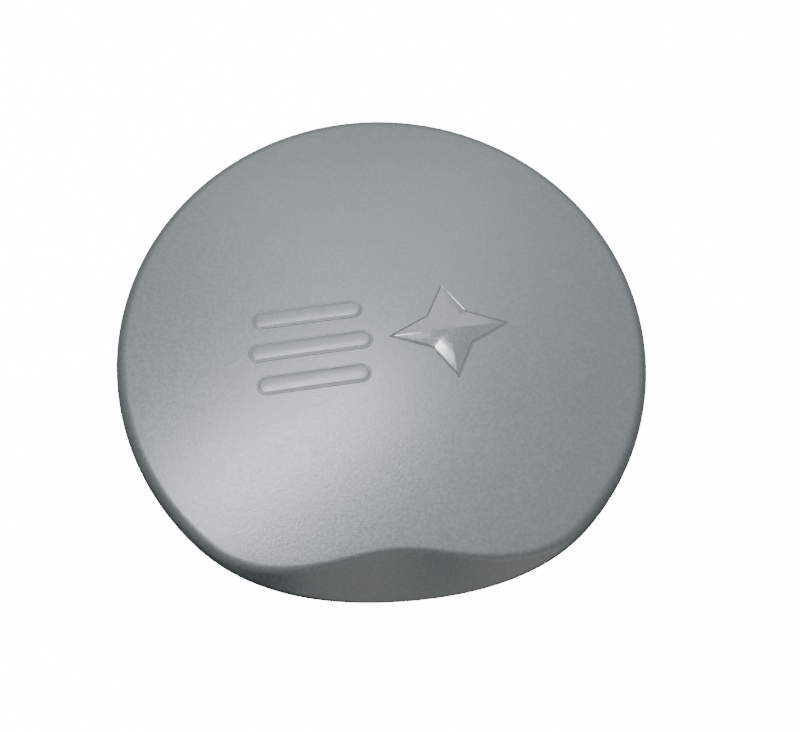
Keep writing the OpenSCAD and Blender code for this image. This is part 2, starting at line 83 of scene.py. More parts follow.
# Ornament on the face, in metres, with heights above the face
BADGE_TILT = math.radians(5)
STAR_AT = (0.086, -0.008)
STAR_A, STAR_B, STAR_WAIST = 0.083, 0.069, 0.34
STAR_PEAK = 0.0035
STAR_STUDS = [(-0.052, 0), (0.052, 0), (0, 0.040), (0, -0.040)]
STRIPE_AT = (-0.100, -0.024)
STRIPE_LENGTH, STRIPE_HIGH, STRIPE_PITCH = 0.165, 0.026, 0.046
STRIPE_SHORTER = 0.016
STRIPE_STUDS = [(side * 0.3 * STRIPE_LENGTH, k * STRIPE_PITCH) for k in (-1, 0, 1) for side in (-1, 1)]

# Places of the hardware, in millimetres
ARM_ANGLES = [math.radians(a) for a in (45, 135, 225, 315)]
FOOT_BOLT_RADII = (280, 312)
FOOT_WASHER_Z, FOOT_NUT_Z = 8, 9.6
HUB_RIVET_R, HUB_RIVET_SIDE = 87, 9
HUB_RIVET_BACK_Z, HUB_RIVET_FRONT_Z = 111.5, 119.4
HINGE_X = 60
BASE_SCREW_X, BASE_SCREW_Y = 16, 320
LEAF_BOLT_X, LEAF_BOLT_Z = 14, 44
LEAF_BOLT_HEAD_Y, LEAF_NUT_Y = 368, 339.5
LOCK_NUT_Y, LOCK_Z = -334, 32
STRIKER_SCREW_X, STRIKER_SCREW_Y, STRIKER_SCREW_SEAT = (20, 32), -320, 6.5
HOOP_RIVET_ANGLES = [math.radians(-57 + 29.4 * k) for k in range(11)]
HOOP_RIVET_Z, HOOP_RIVET_INNER_R, HOOP_RIVET_OUTER_R = 27, 355.5, 362
FACE_PADS = [(262, 0), (0, 262), (-262, 0), (0, -259)]

# CAD shapes that are shown with rounded edges, and the width of the rounding in millimetres
SOFT_EDGES = {
    "rear_ring": 0.7, "ring_seal": 0.5, "tyre_pads": 1.2, "hub_plate": 0.6,
    "arm_1": 0.7, "arm_2": 0.7, "arm_3": 0.7, "arm_4": 0.7,
    "hinge_base_left": 0.4, "hinge_base_right": 0.4, "hinge_pin_left": 0.3, "hinge_pin_right": 0.3,
    "striker": 0.4, "corner_gussets": 0.4, "hinge_pads_outer": 1.2, "hinge_pads_inner": 0.8,
    "stiffening_ring": 0.5, "rim_hoop": 0.3, "hinge_leaf_left": 0.4,
    "hinge_leaf_right": 0.4, "lock_pocket": 0.4, "lock_door": 0.4, "lock_housing": 0.3,
    "lock_plug": 0.2, "lock_cam": 0.3, "badge_clips": 0.2,
}

# Camera: turned from straight above by these angles, this many shell radii from a point just under the face
CAMERA_TILT, CAMERA_AZIMUTH, CAMERA_ROLL = (math.radians(a) for a in (22.25, -8, 5.0))
CAMERA_RADII = 2.504
CAMERA_LENS, CAMERA_SHIFT_X, CAMERA_SHIFT_Y = 29.54, 0.0192, -0.0392
AIM_UNDER_FACE = 0.016

# Studio: the sky's brightness from facing away from SKY_TOP (0) to facing it (1), cooler in its dim part
SKY_TOP = (0.06, 0.46, 0.89)
SKY = [(0.0, 0.04), (0.22, 0.06), (0.32, 0.24), (0.48, 0.34),
       (0.66, 0.46), (0.8, 0.66), (0.93, 0.96), (1.0, 1.04)]
SKY_COOL_BELOW = 0.3
COOL_TINT, PLAIN_TINT = (0.8, 0.995, 1.1), (0.97, 0.995, 1.0)
FRONT_PATCH = (0.36, -0.92, -0.15)
FRONT_PATCH_EDGE = (0.83, 0.95)
FRONT_GLOW = (0.47, 0.46, 0.43)
STAGE_GLOW = 14
STAGE_RADIUS = 9
STAGE_SEGMENTS = 48
FLOOR_Z = -0.0004


# ---------------------------------------------------------------- meshes
def add_mesh(name, verts, faces):
    mesh = bpy.data.meshes.new(name)
    mesh.from_pydata([tuple(v) for v in verts], [], [tuple(f) for f in faces])
    mesh.validate()
    mesh.update()
    mesh.shade_smooth()
    obj = bpy.data.objects.new(name, mesh)
    bpy.context.scene.collection.objects.link(obj)
    return obj


def apply_modifiers(obj):
    graph = bpy.context.evaluated_depsgraph_get()
    mesh = bpy.data.meshes.new_from_object(obj.evaluated_get(graph))
    obj.modifiers.clear()
    obj.data = mesh
    return obj


def smooth_by_angle(obj, degrees):
    """Smooth shading with creases where faces meet at more than this angle."""
    mesh = obj.data
    mesh.shade_smooth()
    mesh.set_sharp_from_angle(angle=math.radians(degrees))
    return obj


def bevel(obj, width):
    """Rounds the sharp edges and keeps the flat faces flat."""
    mod = obj.modifiers.new("bevel", "BEVEL")
    mod.width = width
    mod.segments = 2
    mod.limit_method = "ANGLE"
    mod.angle_limit = math.radians(40)
    obj = smooth_by_angle(apply_modifiers(obj), 35)
    mod = obj.modifiers.new("flatten", "WEIGHTED_NORMAL")
    mod.mode = "FACE_AREA"
    mod.weight = 100
    mod.keep_sharp = True
    return apply_modifiers(obj)


def join(name, objs):
    """One object from several, which are removed."""
    bm = bmesh.new()
    for obj in objs:
        bm.from_mesh(obj.data)
        bpy.data.objects.remove(obj)
    mesh = bpy.data.meshes.new(name)
    bm.to_mesh(mesh)
    bm.free()
    obj = bpy.data.objects.new(name, mesh)
    bpy.context.scene.collection.objects.link(obj)
    return obj


# ---------------------------------------------------------------- shell
def raised_cosine(delta, half):
    """A soft hump over an angle: 1 in the middle, 0 from half outwards."""
    inside = np.abs(delta) < half
    return np.where(inside, 0.5 * (1 + np.cos(math.pi * delta / half)), 0.0)


def crown(r):
    """Height of the face at a distance from the middle."""
    return FACE_Z + CROWN_RISE * (1 - (r / (RADIUS - EDGE_ROUND)) ** 2)


def rim_radius(delta):
    """Radius of the wall at its rim: the round drum cut by the arc of the flat side, with eased corners."""
    offset = FLAT_ARC - FLAT_Y
    across = offset * np.cos(delta)
    flat = np.sqrt(across ** 2 - offset ** 2 + FLAT_ARC ** 2) - across
    return RADIUS - FLAT_EASE * np.log1p(np.exp((RADIUS - flat) / FLAT_EASE))


def turn_between(before, after):
    return np.arccos(np.clip((before * after).sum(0), -1, 1))


def bend(corner, before, after, radius, longest):
    """Rows round a corner between two directions, taking at most the longest length off each side."""
    turn = turn_between(before, after)
    reach = np.minimum(radius * np.tan(turn / 2), longest)
    pull = 4 / 3 * np.tan(turn / 4) * reach / np.tan(turn / 2)
    p0, p3 = corner - before * reach, corner + after * reach
    p1, p2 = p0 + before * pull, p3 - after * pull
    rows = []
    for s in np.linspace(0, 1, BEND_ROWS):
        rows.append((1 - s) ** 3 * p0 + 3 * (1 - s) ** 2 * s * p1
                    + 3 * (1 - s) * s * s * p2 + s ** 3 * p3)
    return rows


def shell_profile(theta):
    """Outer section at each angle: rows of radius and height from the middle of the face to the rim."""
    delta = (theta + math.pi / 2 + math.pi) % (2 * math.pi) - math.pi
    scoop = raised_cosine(delta, SCOOP_HALF)
    wall_r = RADIUS - (RADIUS - FLAT_Y) * raised_cosine(delta, FLAT_HALF)
    corner = EDGE_ROUND * (1 - math.tan(math.pi / 8))
    face_r = RADIUS - corner - SCOOP_IN * scoop
    face_end = np.stack([face_r, crown(face_r)])
    wall_top = np.stack([wall_r, FACE_Z - corner - SCOOP_DROP * scoop])
    fall = -2 * CROWN_RISE * face_r / (RADIUS - EDGE_ROUND) ** 2
    outward = np.stack([np.ones_like(fall), fall])
    outward /= np.linalg.norm(outward, axis=0)
    length = np.linalg.norm(wall_top - face_end, axis=0)
    slanting = (wall_top - face_end) / length
    downward = np.stack([np.zeros_like(fall), -np.ones_like(fall)])
    # Just under half of the slope each, so that the two bends never meet
    longest = 0.499 * length
    upper = bend(face_end, outward, slanting, EDGE_ROUND - SCOOP_TOP_BEND * scoop, longest)
    lower = bend(wall_top, slanting, downward, EDGE_ROUND - SCOOP_LOW_BEND * scoop, longest)
    rows = []
    for s in np.linspace(0.02, 1, FACE_ROWS)[:-1]:
        r = upper[0][0] * s
        rows.append(np.stack([r, crown(r)]))
    rows += upper
    for s in np.linspace(0, 1, SLOPE_ROWS)[1:-1]:
        rows.append(upper[-1] * (1 - s) + lower[0] * s)
    rows += lower
    widen = rim_radius(delta) - wall_r
    for s in np.linspace(0, 1, WALL_ROWS)[1:]:
        step = min(1, s / WALL_BLEND)
        rows.append(np.stack([wall_r + widen * step * step * (3 - 2 * step),
                              lower[-1][1] * (1 - s) + (RIM_Z + WALL / 2) * s]))
    return np.array(rows)


def column_angles():
    low, high = SCOOP_SPAN
    return np.concatenate([np.linspace(low, high, SCOOP_COLUMNS, endpoint=False),
                           np.linspace(high, low + 2 * math.pi, OTHER_COLUMNS, endpoint=False)])


def shell_mesh():
    """The shell as one closed skin: outer side, rounded lip at the rim, inner side."""
    theta = column_angles()
    columns = len(theta)
    outer = shell_profile(theta)
    tangent = np.gradient(outer, axis=0)
    tangent /= np.linalg.norm(tangent, axis=1, keepdims=True)
    inward = np.stack([tangent[:, 1], -tangent[:, 0]], axis=1)
    inner = outer + inward * WALL
    mid = (outer[-1] + inner[-1]) / 2
    half = WALL / 2
    lip = []
    for turn in np.linspace(0, math.pi, LIP_ROWS)[1:-1]:
        lip.append(np.stack([mid[0] + half * math.cos(turn), mid[1] - half * math.sin(turn)]))
    rows = np.concatenate([outer, np.array(lip), inner[::-1]])
    count = len(rows)
    x = rows[:, 0] * np.cos(theta)
    y = rows[:, 0] * np.sin(theta)
    verts = np.stack([x, y, rows[:, 1]], axis=2).reshape(-1, 3)
    verts = np.concatenate([verts, [[0, 0, crown(0)], [0, 0, crown(0) - WALL]]])
    faces = []
    for i in range(count - 1):
        for j in range(columns):
            k = (j + 1) % columns
            faces.append((i * columns + j, (i + 1) * columns + j, (i + 1) * columns + k, i * columns + k))
    top, under = len(verts) - 2, len(verts) - 1
    last = (count - 1) * columns
    for j in range(columns):
        k = (j + 1) % columns
        faces.append((top, j, k))
        faces.append((under, last + k, last + j))
    return add_mesh("shell_moulding", verts, faces)


def cut(obj, tool):
    """Takes the tool's volume out of the object."""
    mod = obj.modifiers.new("cut", "BOOLEAN")
    mod.operation = "DIFFERENCE"
    mod.solver = "EXACT"
    mod.object = tool
    apply_modifiers(obj)
    bpy.data.objects.remove(tool)
    return obj


def box_mesh(name, low, high):
    corners = [(low[0], low[1]), (high[0], low[1]), (high[0], high[1]), (low[0], high[1])]
    verts = [(x, y, z) for z in (low[2], high[2]) for x, y in corners]
    faces = [(3, 2, 1, 0), (4, 5, 6, 7)]
    faces += [(i, (i + 1) % 4, 4 + (i + 1) % 4, 4 + i) for i in range(4)]
    return add_mesh(name, verts, faces)


def make_shell():
    """The shell with its opening for the lock pocket."""
    shell = shell_mesh()
    low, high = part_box("lock_pocket")
    pocket = box_mesh("pocket_cut", (low.x + POCKET_FLANGE, low.y - 0.01, low.z + POCKET_FLANGE),
                      (high.x - POCKET_FLANGE, high.y + 0.002, high.z - POCKET_FLANGE))
    cut(shell, pocket)
    return smooth_by_angle(shell, 50)


# ---------------------------------------------------------------- ornament
def on_crown(name, rings, peak, at):
    """A raised shape on the face from rings of (points, height), outermost first, to a peak or a flat top."""
    turn = Matrix.Rotation(BADGE_TILT, 2)
    verts, faces = [], []
    count = len(rings[0][0])
    for points, height in rings:
        for x, y in points:
            p = turn @ Vector((x, y)) + Vector(at)
            verts.append((p.x, p.y, crown(p.length) + height))
    for i in range(len(rings) - 1):
        for j in range(count):
            k = (j + 1) % count
            faces.append((i * count + j, i * count + k, (i + 1) * count + k, (i + 1) * count + j))
    last = (len(rings) - 1) * count
    if peak is not None:
        verts.append((at[0], at[1], crown(math.hypot(*at)) + peak))
        faces += [(last + j, last + (j + 1) % count, len(verts) - 1) for j in range(count)]
    faces.append(tuple(reversed(range(count))))
    if peak is None:
        faces.append(tuple(range(last, last + count)))
    return add_mesh(name, verts, faces)


def star_outline(a, b, waist, steps):
    """Points round a four-pointed star with half axes a and b, in equal steps along each side."""
    corners = []
    for k in range(8):
        reach = 1 if k % 2 == 0 else waist * math.sqrt(2)
        turn = math.pi / 4 * k
        corners.append(Vector((a * reach * math.cos(turn), b * reach * math.sin(turn))))
    points = []
    for k in range(8):
        start, end = corners[k], corners[(k + 1) % 8]
        points += [tuple(start.lerp(end, s / steps)) for s in range(steps)]
    return points


def make_star():
    """A faceted star inside a groove and a raised border."""
    steps = [(1, -0.0006), (1, 0.0007), (0.994, 0.0011), (0.984, 0.0013), (0.966, 0.0013), (0.956, 0.0011),
             (0.949, 0.0006), (0.94, 0.00045), (0.93, 0.0007), (0.92, 0.0011)]
    field, base = steps[-1]
    steps += [(field * s, base + (STAR_PEAK - base) * (1 - s ** 1.9)) for s in np.linspace(1, 0, 30)[1:-1]]
    outline = star_outline(STAR_A, STAR_B, STAR_WAIST, 12)
    rings = [([(x * s, y * s) for x, y in outline], height) for s, height in steps]
    return smooth_by_angle(on_crown("ornament_star", rings, STAR_PEAK, STAR_AT), 25)


def stadium(length, radius, steps):
    """Points round a bar whose straight part has this length and whose ends are half circles."""
    half = length / 2
    points = []
    for side, start in ((1, -math.pi / 2), (-1, math.pi / 2)):
        for s in range(steps):
            turn = start + math.pi * s / steps
            points.append((side * half + radius * math.cos(turn), radius * math.sin(turn)))
        for s in range(steps):
            points.append((side * half * (1 - 2 * s / steps), side * radius))
    return points


def make_stripes():
    """Three bars, each a slightly domed field inside a groove and a raised border."""
    border = [(0, -0.0006), (0, 0.0006), (0.0003, 0.00095), (0.0008, 0.0011), (0.0016, 0.0011),
              (0.0021, 0.0009), (0.0025, 0.0004), (0.0031, 0.00025), (0.0037, 0.0004), (0.0042, 0.0007)]
    steps = [(STRIPE_HIGH / 2 - inset, height) for inset, height in border]
    field, base = steps[-1]
    steps += [(field * s, base + 0.0005 * (1 - s * s)) for s in np.linspace(1, 0.02, 12)[1:]]
    stripes = []
    for k in (-1, 0, 1):
        length = STRIPE_LENGTH - STRIPE_SHORTER * abs(k) - STRIPE_HIGH
        rings = []
        for r, height in steps:
            rings.append(([(x, y + k * STRIPE_PITCH) for x, y in stadium(length, r, 16)], height))
        stripes.append(on_crown("stripe", rings, None, STRIPE_AT))
    return smooth_by_angle(join("ornament_stripes", stripes), 40)


def ornament_studs(name, centre, spots):
    """Ribbed studs behind an ornament, which run back through the face."""
    turn = Matrix.Rotation(BADGE_TILT, 2)
    rows = [(-14, 0, None), (-14, 1.9, None)]
    rows += [(z, 2.5 if k % 2 else 2.1, None) for k, z in enumerate(np.arange(-13.6, -5, 0.5))]
    stud = lathe(name, scaled(rows + [(-4.5, 2.5, None), (-0.5, 2.5, None), (-0.5, 0, None)]))
    places = []
    for spot in spots:
        at = Vector(centre) + turn @ Vector(spot)
        places.append(Matrix.Translation((at.x, at.y, crown(at.length))))
    return copies(name, stud, places)


def ornaments():
    star = [make_star(), ornament_studs("star_studs", STAR_AT, STAR_STUDS)]
    stand_in(join("ornament_star", star), "badge_star")
    stripes = [make_stripes(), ornament_studs("stripe_studs", STRIPE_AT, STRIPE_STUDS)]
    stand_in(join("ornament_stripes", stripes), "badge_stripes")


# ---------------------------------------------------------------- hardware
def lathe(name, rows, segments=48):
    """A turned piece from rows of (height, radius, hexagon's corner radius or None); a tube off the axis."""
    theta = np.arange(segments) * 2 * math.pi / segments
    sixth = math.pi / 3
    hexagon = math.cos(sixth / 2) / np.cos(theta % sixth - sixth / 2)
    verts = []
    for z, r, across in rows:
        radius = np.full(segments, r) if across is None else np.minimum(r, across * hexagon)
        verts += [(a * math.cos(t), a * math.sin(t), z) for a, t in zip(radius, theta)]
    faces = []
    closed = rows[0][1] > 0
    for i in range(len(rows) - (0 if closed else 1)):
        k = (i + 1) % len(rows)
        for j in range(segments):
            m = (j + 1) % segments
            faces.append((i * segments + j, i * segments + m, k * segments + m, k * segments + j))
    obj = add_mesh(name, verts, faces)
    bm = bmesh.new()
    bm.from_mesh(obj.data)
    bmesh.ops.remove_doubles(bm, verts=bm.verts, dist=1e-7)
    bmesh.ops.recalc_face_normals(bm, faces=bm.faces)
    bm.to_mesh(obj.data)
    bm.free()
    return smooth_by_angle(obj, 30)


def copies(name, template, places):
    """One mesh with a copy of the template at each matrix."""
    objs = []
    for place in places:
        mesh = template.data.copy()
        mesh.transform(place)
        obj = bpy.data.objects.new(name, mesh)
        bpy.context.scene.collection.objects.link(obj)
        objs.append(obj)
    bpy.data.objects.remove(template)
    return join(name, objs)


def softened(node, width):
    """A copy of a CAD node with its edges rounded."""
    source = NODES[node]
    mesh = source.data.copy()
    mesh.transform(source.matrix_world)
    obj = bpy.data.objects.new(node + "_soft", mesh)
    bpy.context.scene.collection.objects.link(obj)
    bm = bmesh.new()
    bm.from_mesh(mesh)
    bmesh.ops.remove_doubles(bm, verts=bm.verts, dist=2e-6)
    bmesh.ops.dissolve_limit(bm, angle_limit=math.radians(1), verts=bm.verts, edges=bm.edges)
    bm.to_mesh(mesh)
    bm.free()
    return bevel(obj, width)


def nut_rows(corner, height, bore):
    """Rows of a hexagon nut with turned faces and a chamfered bore."""
    face = corner * 0.9
    lead = 0.3
    return [(0, bore + lead, None), (0, face, corner), (height * 0.14, corner, corner),
            (height * 0.86, corner, corner), (height, face, corner), (height, bore + lead, None),
            (height - lead, bore, None), (lead, bore, None)]


def thread_rows(radius, start, end, pitch):
    """Rows of a threaded end as rings of crests and roots, closed on the axis."""
    rows = []
    z = start
    while z + pitch < end:
        rows += [(z, radius, None), (z + pitch / 2, radius - 0.45 * pitch, None)]
        z += pitch
    return rows + [(z, radius, None), (end, radius - 0.5 * pitch, None), (end, 0, None)]


def countersunk_rows(radius, head, sink, low, high, threads_from, pitch):
    """Rows of a countersunk screw with a hexagon socket, its head at low and its tip at high."""
    socket = head * 0.42
    return [(low + sink * 0.7, 0, None), (low + sink * 0.7, socket, socket), (low, socket, socket),
            (low, head - 0.25, None), (low + 0.2, head, None), (low + sink, radius, None),
            (threads_from, radius, None)] + thread_rows(radius, threads_from + 0.1, high, pitch)


def dome_rows(radius, height):
    """A domed head from its top on the axis down to its seat at height 0."""
    steps = 6
    rows = []
    for s in range(steps + 1):
        turn = math.pi / 2 * s / steps
        rows.append((height * math.cos(turn) ** 0.8 if s < steps else 0, radius * math.sin(turn), None))
    return rows


def scaled(rows):
    """Rows in millimetres turned into metres."""
    return [(z * MM, r * MM, None if across is None else across * MM) for z, r, across in rows]


def along(direction, at):
    """Matrix that lays a piece's own Z along a direction, at a place given in millimetres."""
    turn = Vector(direction).to_track_quat("Z", "Y").to_matrix().to_4x4()
    return Matrix.Translation(Vector(at) * MM) @ turn


def upright(points):
    """Places for pieces that stand along Z, at points given in millimetres."""
    return [along((0, 0, 1), point) for point in points]


def foot_fasteners():
    """Bolts, washers and nuts that hold the feet of the arms to the rear ring."""
    feet = [(r * math.cos(a), r * math.sin(a)) for a in ARM_ANGLES for r in FOOT_BOLT_RADII]
    bolt = lathe("arm_bolt", scaled(countersunk_rows(3, 6, 3.2, 0.3, 16.6, 9, 1)))
    stand_in(copies("arm_bolts_fine", bolt, upright([(x, y, 0) for x, y in feet])), "arm_bolts")
    washer = lathe("washer", scaled([(0, 3.25, None), (0, 6.3, None), (0.2, 6.5, None), (1.4, 6.5, None),
                                     (1.6, 6.3, None), (1.6, 3.25, None), (1.4, 3.05, None),
                                     (0.2, 3.05, None)]))
    places = upright([(x, y, FOOT_WASHER_Z) for x, y in feet])
    stand_in(copies("arm_washers_fine", washer, places), "arm_washers")
    nut = lathe("nut", scaled(nut_rows(5.77, 5, 3.05)), 72)
    stand_in(copies("arm_nuts_fine", nut, upright([(x, y, FOOT_NUT_Z) for x, y in feet])), "arm_nuts")


def hub_rivets():
    """Rivets that hold the arms to the hub plate, domed behind and flush in front."""
    front, back = HUB_RIVET_FRONT_Z, HUB_RIVET_BACK_Z
    head = [(back - z, r, across) for z, r, across in dome_rows(5.5, 2)]
    rows = head + [(back, 3, None), (front - 1.8, 3, None), (front, 5.5, None), (front, 3.2, None),
                   (front - 0.2, 1.8, None), (front - 0.2, 0, None)]
    places = []
    for a in ARM_ANGLES:
        for side in (-HUB_RIVET_SIDE, HUB_RIVET_SIDE):
            places.append((HUB_RIVET_R * math.cos(a) - side * math.sin(a),
                           HUB_RIVET_R * math.sin(a) + side * math.cos(a), 0))
    rivet = lathe("hub_rivet", scaled(rows))
    stand_in(copies("hub_rivets_fine", rivet, upright(places)), "hub_rivets")


def hinge_fasteners():
    """Screws of the hinge bases, and bolts and flanged nuts of the hinge leaves."""
    screws_x = [side * HINGE_X + dx for side in (-1, 1) for dx in (-BASE_SCREW_X, BASE_SCREW_X)]
    screw = lathe("base_screw", scaled(countersunk_rows(2.5, 5, 2.8, 0.3, 10.5, 4, 0.9)))
    places = upright([(x, BASE_SCREW_Y, 0) for x in screws_x])
    stand_in(copies("base_screws_fine", screw, places), "hinge_base_screws")
    bolts_x = [side * HINGE_X + dx for side in (-1, 1) for dx in (-LEAF_BOLT_X, LEAF_BOLT_X)]
    head = [(LEAF_BOLT_HEAD_Y + z, r, across) for z, r, across in dome_rows(4.75, 2.6)]
    tip, thread_end = 337, 344
    shank = [(LEAF_BOLT_HEAD_Y, 2.5, None), (thread_end + 1, 2.5, None)]
    shank += [(thread_end + tip - z, r, across) for z, r, across in thread_rows(2.5, tip, thread_end, 0.8)]
    bolt = lathe("leaf_bolt", scaled(head + shank))
    places = [along((0, 1, 0), (x, 0, LEAF_BOLT_Z)) for x in bolts_x]
    stand_in(copies("leaf_bolts_fine", bolt, places), "hinge_leaf_bolts")
    flange = [(3.5, 4.62, 4.62), (3.5, 5.8, None), (3.7, 6, None), (4.5, 6, None), (4.5, 2.8, None),
              (4.2, 2.55, None), (0.3, 2.55, None)]
    nut = lathe("leaf_nut", scaled(nut_rows(4.62, 3.5, 2.55)[:4] + flange), 72)
    places = [along((0, 1, 0), (x, LEAF_NUT_Y, LEAF_BOLT_Z)) for x in bolts_x]
    stand_in(copies("leaf_nuts_fine", nut, places), "hinge_leaf_nuts")


def lock_and_striker_fasteners():
    """Ring nut behind the lock, and the dome-head socket screws of the striker."""
    nut = lathe("ring_nut", scaled(nut_rows(12.5, 3.5, 9.55)), 96)
    stand_in(copies("lock_nut_fine", nut, [along((0, 1, 0), (0, LOCK_NUT_Y, LOCK_Z))]), "lock_nut")
    seat = STRIKER_SCREW_SEAT
    socket = [(seat + 0.9, 0, None), (seat + 0.9, 1.6, 1.6), (seat + 2.25, 1.6, 1.6)]
    dome = [(seat + z, r, across) for z, r, across in dome_rows(4, 2.4) if r > 1.7]
    shank = [(seat, 2, None), (0.5, 1.7, None), (0.5, 0, None)]
    screw = lathe("striker_screw", scaled(socket + dome + shank))
    places = upright([(x, STRIKER_SCREW_Y, 0) for x in STRIKER_SCREW_X])
    stand_in(copies("striker_screws_fine", screw, places), "striker_screws")


def hoop_fasteners():
    """Rivets through the shell's wall and the hoop inside its rim, with a dome at both ends."""
    inner_r, outer_r = HOOP_RIVET_INNER_R, HOOP_RIVET_OUTER_R
    inner = [(inner_r - z, r, across) for z, r, across in dome_rows(3.4, 1.5)]
    outer = [(outer_r + z, r, across) for z, r, across in reversed(dome_rows(4.5, 1.4))]
    rivet = lathe("hoop_rivet", scaled(inner + [(inner_r + 0.5, 2, None), (outer_r, 2, None)] + outer))
    places = [along((math.cos(a), math.sin(a), 0), (0, 0, HOOP_RIVET_Z)) for a in HOOP_RIVET_ANGLES]
    stand_in(copies("hoop_rivets_fine", rivet, places), "hoop_rivets")


def face_bumpers():
    """Rubber pads under the face with rings moulded into their free side."""
    rows = [(224.6, 0, None), (224.6, 3.6, None), (224, 4.2, None), (224, 7, None), (225.2, 7.4, None),
            (225.2, 9.4, None), (224, 9.8, None), (224, 13, None), (225.2, 13.4, None), (225.2, 15.4, None),
            (224, 15.8, None), (224, 18, None), (225.4, 19.4, None), (227, 19.8, None), (252, 19.8, None),
            (253, 18, None), (257, 17, None), (257, 0, None)]
    pad = lathe("face_pad", scaled(rows), 64)
    stand_in(copies("face_pads_fine", pad, upright([(x, y, 0) for x, y in FACE_PADS])), "face_pads")


def softened_cad():
    for node, width in SOFT_EDGES.items():
        stand_in(softened(node, width * MM), node)


# ---------------------------------------------------------------- materials
def new_material(name):
    mat = bpy.data.materials.new(name)
    mat.use_nodes = True
    tree = mat.node_tree
    return mat, tree, tree.nodes["Principled BSDF"]


def noise(tree, scale, detail, rough, stretch=None):
    coords = tree.nodes.new("ShaderNodeTexCoord")
    tex = tree.nodes.new("ShaderNodeTexNoise")
    tex.inputs["Scale"].default_value = scale
    tex.inputs["Detail"].default_value = detail
    tex.inputs["Roughness"].default_value = rough
    if stretch:
        mapping = tree.nodes.new("ShaderNodeMapping")
        mapping.inputs["Scale"].default_value = stretch
        tree.links.new(coords.outputs["Object"], mapping.inputs["Vector"])
        tree.links.new(mapping.outputs["Vector"], tex.inputs["Vector"])
    else:
        tree.links.new(coords.outputs["Object"], tex.inputs["Vector"])
    return tex.outputs["Fac"]


def ramp(tree, value, stops):
    """A colour from a value, blended between (value, colour) stops."""
    node = tree.nodes.new("ShaderNodeValToRGB")
    while len(node.color_ramp.elements) < len(stops):
        node.color_ramp.elements.new(0.5)
    for element, (pos, colour) in zip(node.color_ramp.elements, stops):
        element.position = pos
        element.color = (*colour, 1)
    tree.links.new(value, node.inputs["Fac"])
    return node.outputs["Color"]


def remap(tree, value, source, target=(0, 1), interpolation="LINEAR"):
    """A value moved from one range to another and held at its ends."""
    node = tree.nodes.new("ShaderNodeMapRange")
    node.interpolation_type = interpolation
    for end, start_value, end_value in zip(("Min", "Max"), source, target):
        node.inputs["From " + end].default_value = start_value
        node.inputs["To " + end].default_value = end_value
    tree.links.new(value, node.inputs["Value"])
    return node.outputs["Result"]


def spread(tree, value, middle, by):
    """A noise made into a value that varies by this much either side of the middle."""
    return remap(tree, value, (0.3, 0.7), (middle - by, middle + by))


def bump(tree, bsdf, value, strength, distance=0.0002):
    node = tree.nodes.new("ShaderNodeBump")
    node.inputs["Strength"].default_value = strength
    node.inputs["Distance"].default_value = distance
    tree.links.new(value, node.inputs["Height"])
    tree.links.new(node.outputs["Normal"], bsdf.inputs["Normal"])


def silver_paint(name, tone, rough, coat, coat_rough, grain):
    """Metallic paint: flakes lighter and darker than the tone, under a clear coat."""
    mat, tree, bsdf = new_material(name)
    flake = noise(tree, 240, 3, 0.6)
    cloud = noise(tree, 9, 3, 0.5)
    mix = tree.nodes.new("ShaderNodeMix")
    mix.data_type = "RGBA"
    mix.blend_type = "MULTIPLY"
    mix.inputs["Factor"].default_value = 1
    dark = tuple(c * 0.935 for c in tone)
    light = tuple(c * 1.065 for c in tone)
    tint = ramp(tree, cloud, [(0.3, (0.96, 0.97, 0.97)), (0.7, (1, 1, 1))])
    tree.links.new(ramp(tree, flake, [(0.38, dark), (0.62, light)]), mix.inputs[6])
    tree.links.new(tint, mix.inputs[7])
    tree.links.new(mix.outputs[2], bsdf.inputs["Base Color"])
    tree.links.new(spread(tree, flake, rough, 0.05), bsdf.inputs["Roughness"])
    bsdf.inputs["Metallic"].default_value = 0.8
    bsdf.inputs["Coat Weight"].default_value = coat
    bsdf.inputs["Coat Roughness"].default_value = coat_rough
    bump(tree, bsdf, flake, grain, 0.0006)
    return mat


def plastic(name, colour, rough, grain, strength, spec=0.5):
    """Moulded plastic or rubber with a fine grain and slightly uneven colour."""
    mat, tree, bsdf = new_material(name)
    fine = noise(tree, grain, 4, 0.6)
    wide = noise(tree, 14, 3, 0.5)
    dark = tuple(c * 0.8 for c in colour)
    light = tuple(min(1, c * 1.25 + 0.004) for c in colour)
    tree.links.new(ramp(tree, wide, [(0.3, dark), (0.7, light)]), bsdf.inputs["Base Color"])
    tree.links.new(spread(tree, fine, rough, 0.07), bsdf.inputs["Roughness"])
    bsdf.inputs["Specular IOR Level"].default_value = spec
    bump(tree, bsdf, fine, strength)
    return mat


def metal(name, colour, rough, stretch=None, strength=0.15, spread_by=0.08):
    """Bare or plated metal, with a grain that is finer along one axis where it was rolled."""
    mat, tree, bsdf = new_material(name)
    grain = noise(tree, 260, 4, 0.6, stretch)
    patch = noise(tree, 35, 3, 0.6)
    dark = tuple(c * 0.82 for c in colour)
    tree.links.new(ramp(tree, patch, [(0.3, dark), (0.7, colour)]), bsdf.inputs["Base Color"])
    tree.links.new(spread(tree, grain, rough, spread_by), bsdf.inputs["Roughness"])
    bsdf.inputs["Metallic"].default_value = 1.0
    bump(tree, bsdf, grain, strength)
    return mat


def powder_coat(name, colour):
    """Satin powder coat with an orange-peel surface."""
    mat, tree, bsdf = new_material(name)
    peel = noise(tree, 600, 3, 0.5)
    wide = noise(tree, 20, 3, 0.5)
    light = tuple(c * 1.3 + 0.004 for c in colour)
    tree.links.new(ramp(tree, wide, [(0.3, colour), (0.7, light)]), bsdf.inputs["Base Color"])
    tree.links.new(spread(tree, peel, 0.4, 0.06), bsdf.inputs["Roughness"])
    bump(tree, bsdf, peel, 0.25)
    return mat


